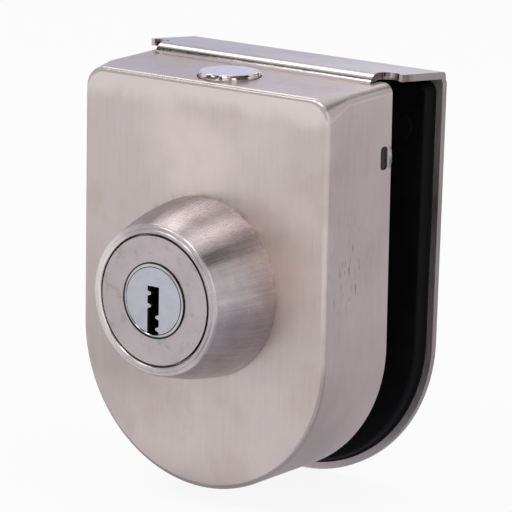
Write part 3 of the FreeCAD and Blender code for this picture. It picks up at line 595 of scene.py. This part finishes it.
BEAD_ROWS = 24
BEAD_COLUMNS = 10
BEAD_MIDDLE = (24.8, 82.08)
BEAD_HALF_WIDTH = 0.8
BEAD_HALF_HEIGHT = 2.75
BEAD_OUTSIDE = 35.9
BEAD_INSIDE = 35.6
BEAD_BOW_BACK = 0.15
BEAD_BOW_OUT = 0.6
BEAD_WIDTH_AT_ENDS = 0.6
BEAD_LENGTH_POWER = 0.6
BEAD_WIDTH_POWER = 0.7

LIP_STEPS = 24
LIP_SIDES = 10
LIP_START = (29.2, 21.45, 99.34)
LIP_RUN = 3.2
LIP_DRIFT = 0.5
LIP_RISE = 0.42
LIP_RISE_POWER = 1.5
LIP_END_RADIUS = 0.05
LIP_SWELL = 0.2
LIP_SWELL_SPEED = 1.15
LIP_SWELL_POWER = 0.7


def place(x, y, z):
    """Point given from the cover's front face and its lowest point, in millimetres."""
    return Vector((x, COVER_FRONT + y, COVER_BOTTOM + z)) * MM


def new_piece(name, mesh_data, finish, body):
    """Object of a finished bmesh, with its material and the body it rides on."""
    mesh = bpy.data.meshes.new(name)
    bmesh.ops.recalc_face_normals(mesh_data, faces=mesh_data.faces)
    mesh_data.to_mesh(mesh)
    mesh_data.free()
    for polygon in mesh.polygons:
        polygon.use_smooth = True
    mesh.set_sharp_from_angle(angle=SHARP_ANGLE)
    mesh.materials.append(finish.material)
    piece = add_object(name, mesh)
    if body:
        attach(piece, body)
    return piece


def bridge_rings(data, rings):
    """Faces between closed rings of vertices, with both ends closed."""
    loops = [[data.verts.new(point) for point in ring] for ring in rings]
    count = len(loops[0])
    for first, second in zip(loops, loops[1:]):
        for i in range(count):
            j = (i + 1) % count
            data.faces.new((first[i], first[j], second[j], second[i]))
    data.faces.new(loops[0])
    data.faces.new(loops[-1])


def d_ring(half, bottom, top, corner, y):
    """Points round a flat top, straight sides and a half round bottom."""
    arcs = (
        (0, bottom + half, half, 180, 360, BOTTOM_STEPS),
        (half - corner, top - corner, corner, 0, 90, CORNER_STEPS),
        (corner - half, top - corner, corner, 90, 180, CORNER_STEPS),
    )
    points = []
    for x, z, radius, start, end, steps in arcs:
        for step in range(steps + 1):
            angle = math.radians(start + (end - start) * step / steps)
            points.append(Vector((x + radius * math.cos(angle), y, z + radius * math.sin(angle))))
    return points


def rounded_edge(inset, y, radius):
    """Inset and depth of points along a quarter round at the end of a pad's side."""
    angles = [math.radians(90 * step / EDGE_STEPS) for step in range(EDGE_STEPS + 1)]
    return [(inset + radius * (1 - math.cos(a)), y - radius * math.sin(a)) for a in angles]


def moulded_pad(profile, half, bottom, top, corner):
    """Pad whose side follows a profile of insets and depths."""
    data = bmesh.new()
    rings = []
    for inset, y in profile:
        smaller = max(corner - inset, SMALLEST_CORNER)
        rings.append(d_ring(half - inset, bottom + inset, top - inset, smaller, y))
    bridge_rings(data, rings)
    return data


def make_rear_pad():
    """Black rubber pad with a thin flash at its foot, a drafted side, a rounded edge and a nub."""
    profile = REAR_PAD_SIDE + rounded_edge(inset=0.75, y=-2.0, radius=1.0)
    data = moulded_pad(profile, half=36.0, bottom=-2.3, top=97.65, corner=3.0)
    angles = [math.radians(360 / NUB_SIDES * side) for side in range(NUB_SIDES)]
    x, y, z = NUB_CENTRE
    rings = []
    for radius, rise in NUB_PROFILE:
        rings.append(
            [Vector((x + radius * math.cos(a), y - rise, z + radius * math.sin(a))) for a in angles]
        )
    bridge_rings(data, rings)
    cosine, sine = math.cos(BACK_PLATE_LEAN), math.sin(BACK_PLATE_LEAN)
    for vertex in data.verts:
        x, y, z = vertex.co
        drop = z - BACK_PLATE_TOP
        y, z = y * cosine + drop * sine, drop * cosine - y * sine
        vertex.co = place(x, BACK_PLATE_DEPTH + y, BACK_PLATE_TOP + z)
    return new_piece("rear_pad_rubber", data, pad_rubber, "lock_body")


def make_pressure_pad():
    """Rubber pad with a rounded edge, on the pressure plate."""
    profile = PRESSURE_PAD_SIDE + rounded_edge(inset=0.1, y=-1.3, radius=0.7)
    data = moulded_pad(profile, half=32.0, bottom=4.0, top=91.78, corner=3.0)
    for vertex in data.verts:
        x, y, z = vertex.co
        vertex.co = place(x, PRESSURE_PAD_DEPTH - y, z)
    return new_piece("pressure_pad_rubber", data, pad_rubber, "pressure_jaw")


def tube(data, points, radii, sides):
    """Closed tube along points; each point's radius is its own."""
    angles = [2 * math.pi * side / sides for side in range(sides)]
    rings = []
    for index, (point, radius) in enumerate(zip(points, radii)):
        before = points[max(index - 1, 0)]
        after = points[min(index + 1, len(points) - 1)]
        along = (after - before).normalized()
        first = along.orthogonal() if index == 0 else (first - along * first.dot(along))
        first.normalize()
        second = along.cross(first)
        rings.append(
            [point + (first * math.cos(a) + second * math.sin(a)) * radius for a in angles]
        )
    bridge_rings(data, rings)


def make_wafer_springs():
    """Coil springs beside the wafers, from the plug to each wafer's arm."""
    data = bmesh.new()
    steps = SPRING_TURNS * STEPS_PER_TURN
    rise = SPRING_HIGH - SPRING_LOW - 2 * WIRE_RADIUS
    for index in range(SPRING_COUNT):
        middle = FIRST_WAFER_DEPTH + SPRING_PITCH * index + WAFER_MIDDLE
        points = []
        for step in range(steps + 1):
            angle = 2 * math.pi * step / STEPS_PER_TURN
            x = SPRING_ACROSS + COIL_RADIUS * math.cos(angle)
            y = middle + COIL_RADIUS * math.sin(angle)
            points.append(place(x, y, SPRING_LOW + WIRE_RADIUS + rise * step / steps))
        tube(data, points, [WIRE_RADIUS * MM] * len(points), WIRE_SIDES)
    piece = new_piece("wafer_coil_springs", data, spring_steel, None)
    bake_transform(piece)
    return piece


def make_slot_bead(side):
    """Narrow strip of the cover behind the slot, bowed outwards by the press tool."""
    data = bmesh.new()
    rings = []
    for row in range(BEAD_ROWS + 1):
        v = 2 * row / BEAD_ROWS - 1
        swell = max(1 - v * v, 0.0) ** BEAD_LENGTH_POWER
        width = BEAD_WIDTH_AT_ENDS + (1 - BEAD_WIDTH_AT_ENDS) * swell
        z = BEAD_MIDDLE[1] + BEAD_HALF_HEIGHT * v
        outside, inside = [], []
        for column in range(BEAD_COLUMNS + 1):
            u = 2 * column / BEAD_COLUMNS - 1
            y = BEAD_MIDDLE[0] + BEAD_BOW_BACK * swell + BEAD_HALF_WIDTH * u * width
            x = BEAD_OUTSIDE + BEAD_BOW_OUT * swell * (1 - u * u) ** BEAD_WIDTH_POWER
            outside.append(place(side * x, y, z))
            inside.append(place(side * BEAD_INSIDE, y, z))
        rings.append(outside + inside[::-1])
    bridge_rings(data, rings)
    name = "slot_bead_right" if side > 0 else "slot_bead_left"
    # The bead takes the darker steel as painted shade
    return new_piece(name, data, painted_shade_steel, "lock_body")


def make_notch_lip(side):
    """Curled burr of the cover where the notch for the clamp ends."""
    data = bmesh.new()
    points, radii = [], []
    for step in range(LIP_STEPS + 1):
        t = step / LIP_STEPS
        x = LIP_START[0] + LIP_RUN * t
        y = LIP_START[1] + LIP_DRIFT * t * t
        z = LIP_START[2] + LIP_RISE * math.sin(math.pi * t) ** LIP_RISE_POWER
        points.append(place(side * x, y, z))
        swell = math.sin(math.pi * min(t * LIP_SWELL_SPEED, 1.0)) ** LIP_SWELL_POWER
        radii.append((LIP_END_RADIUS + LIP_SWELL * swell) * MM)
    tube(data, points, radii, LIP_SIDES)
    name = "notch_lip_right" if side > 0 else "notch_lip_left"
    return new_piece(name, data, cover_steel, "lock_body")


rear_pad = make_rear_pad()
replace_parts(rear_pad, "rear_pad")
pressure_pad = make_pressure_pad()
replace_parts(pressure_pad, "pressure_pad")
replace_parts(make_wafer_springs(), "wafer_springs")
for side in (-1, 1):
    make_slot_bead(side)
    make_notch_lip(side)


# Studio: floor, world, lamps and cards. Lengths are in metres
FLOOR_Z = cad_box[0].z - 0.0001
FLOOR_CARD_Z = FLOOR_Z + 0.0005
FLOOR_HALF = 3.0
FLOOR_GREY = (0.8, 0.8, 0.8)
FLOOR_ROUGHNESS = 0.9
FLOOR_SEEN = 0.9
FLOOR_IN_METAL = 0.85
WORLD_LIGHT = 0.7
WORLD_SEEN = (0.8, 0.8, 0.8)
LAMP_DISTANCE = 0.9
CARD_DISTANCE = 0.8

# Azimuth and elevation in degrees, width and height, and power in watts
LAMPS = {
    "key": (-108, 53, (0.3, 0.26), 0.5),
    "front_left": (-36, 47, (0.16, 0.2), 0.9),
    "overhead": (13, 57, (0.2, 0.25), 1.1),
    "right": (54, 20, (0.25, 0.5), 0.4),
    "top_back": (-138, 60, (0.2, 0.2), 0.25),
    "crease": (-160, 27, (0.08, 0.08), 0.1),
}
# Azimuth and elevation in degrees, width and height, and colour
CARDS = {
    "between_lamps": (43, 46, (0.38, 0.28), (0.04, 0.04, 0.04)),
    "between_front_lamps": (-12, 55, (0.2, 0.25), (0.1, 0.1, 0.1)),
    "left_high": (-60, 45, (0.26, 0.28), (0.02, 0.02, 0.02)),
    "right_high": (121, 48, (0.5, 0.26), (0.02, 0.02, 0.02)),
    "right_middle": (108, 28, (0.4, 0.16), (0.66, 0.64, 0.66)),
    "rear_high": (167, 35, (0.36, 0.24), (0.28, 0.28, 0.29)),
    "right_back": (144, 13, (0.36, 0.2), (0.4, 0.4, 0.43)),
    "left_back": (-131, 13, (0.56, 0.44), (0.7, 0.72, 0.9)),
}
# Grey cards on the floor, seen only in reflections, that paint shade onto the floor near the lock:
# two opposite corners on the floor, and colour
FLOOR_CARDS = {
    "floor_right": ((-0.5, -0.05), (0.5, 0.0), (0.44, 0.43, 0.46)),
    "floor_rear": ((-0.5, 0.0), (0.5, 0.8), (0.62, 0.59, 0.63)),
    "floor_front": ((0.02, -0.16), (0.16, -0.052), (0.6, 0.58, 0.6)),
    "floor_left": ((-0.2, -0.2), (-0.075, -0.1), (0.5, 0.49, 0.49)),
}


def light_for_eyes(nodes, plain, light, surface, to_camera, to_metal):
    """Surface of a plain shader, lighter where the camera or a reflection looks at it."""
    path = nodes.add("ShaderNodeLightPath").outputs
    bent = nodes.math("MAXIMUM", path["Is Glossy Ray"], path["Is Transmission Ray"])
    seen = nodes.math("MULTIPLY", path["Is Camera Ray"], to_camera)
    share = nodes.math("MAXIMUM", seen, nodes.math("MULTIPLY", bent, to_metal))
    values = {0: share, 1: plain.outputs[0], 2: light.outputs[0]}
    nodes.put(surface, nodes.add("ShaderNodeMixShader", values).outputs[0])


def add_sheet(name, corners):
    """Sheet of one four-cornered face, its material and the material's nodes."""
    mesh = bpy.data.meshes.new(name)
    mesh.from_pydata(corners, [], [(0, 1, 2, 3)])
    material = bpy.data.materials.new(name)
    mesh.materials.append(material)
    return add_object(name, mesh), Nodes(material)


def level_corners(low, high, z):
    return [(low[0], low[1], z), (high[0], low[1], z), (high[0], high[1], z), (low[0], high[1], z)]


def make_floor():
    """White floor that keeps the lock's shadow."""
    corners = level_corners((-FLOOR_HALF, -FLOOR_HALF), (FLOOR_HALF, FLOOR_HALF), FLOOR_Z)
    floor, nodes = add_sheet("floor", corners)
    shader = nodes.tree.nodes["Principled BSDF"]
    nodes.put(shader.inputs["Base Color"], FLOOR_GREY)
    nodes.put(shader.inputs["Roughness"], FLOOR_ROUGHNESS)
    surface = nodes.tree.nodes["Material Output"].inputs["Surface"]
    glow = nodes.add("ShaderNodeEmission")
    light_for_eyes(nodes, shader, glow, surface, FLOOR_SEEN, FLOOR_IN_METAL)


def make_world():
    world = bpy.data.worlds.new("studio")
    bpy.context.scene.world = world
    nodes = Nodes(world)
    base = nodes.tree.nodes["Background"]
    nodes.put(base.inputs["Color"], (1.0, 1.0, 1.0))
    nodes.put(base.inputs["Strength"], WORLD_LIGHT)
    surface = nodes.tree.nodes["World Output"].inputs["Surface"]
    light = nodes.add("ShaderNodeBackground", {"Color": WORLD_SEEN})
    light_for_eyes(nodes, base, light, surface, 1.0, 1.0)


def make_lamp(name, azimuth, elevation, size, power):
    """Rectangular lamp that faces the lock."""
    data = bpy.data.lights.new(name, "AREA")
    data.shape = "RECTANGLE"
    data.size, data.size_y = size
    data.energy = power
    lamp = add_object(name, data)
    lamp.location = AIM + direction(azimuth, elevation) * LAMP_DISTANCE
    lamp.rotation_mode = "QUATERNION"
    lamp.rotation_quaternion = direction(azimuth, elevation).to_track_quat("Z", "Y")


def stage_card(name, corners, colour):
    """Four-cornered card that only reflections show."""
    card, nodes = add_sheet(name, corners)
    glow = nodes.add("ShaderNodeEmission", {"Color": colour})
    nodes.put(nodes.tree.nodes["Material Output"].inputs["Surface"], glow.outputs[0])
    card.visible_camera = False
    card.visible_diffuse = False
    card.visible_shadow = False


def make_card(name, azimuth, elevation, size, colour):
    """Card that faces the lock."""
    turn = direction(azimuth, elevation).to_track_quat("Z", "Y")
    centre = AIM + direction(azimuth, elevation) * CARD_DISTANCE
    w, h = size[0] / 2, size[1] / 2
    corners = [centre + turn @ Vector(corner) for corner in level_corners((-w, -h), (w, h), 0)]
    stage_card(name, corners, colour)


make_camera()
make_floor()
make_world()
for name, lamp in LAMPS.items():
    make_lamp(name, *lamp)
for name, card in CARDS.items():
    make_card(name, *card)
for name, (low, high, colour) in FLOOR_CARDS.items():
    stage_card(name, level_corners(low, high, FLOOR_CARD_Z), colour)
bpy.context.scene.view_settings.view_transform = "Standard"
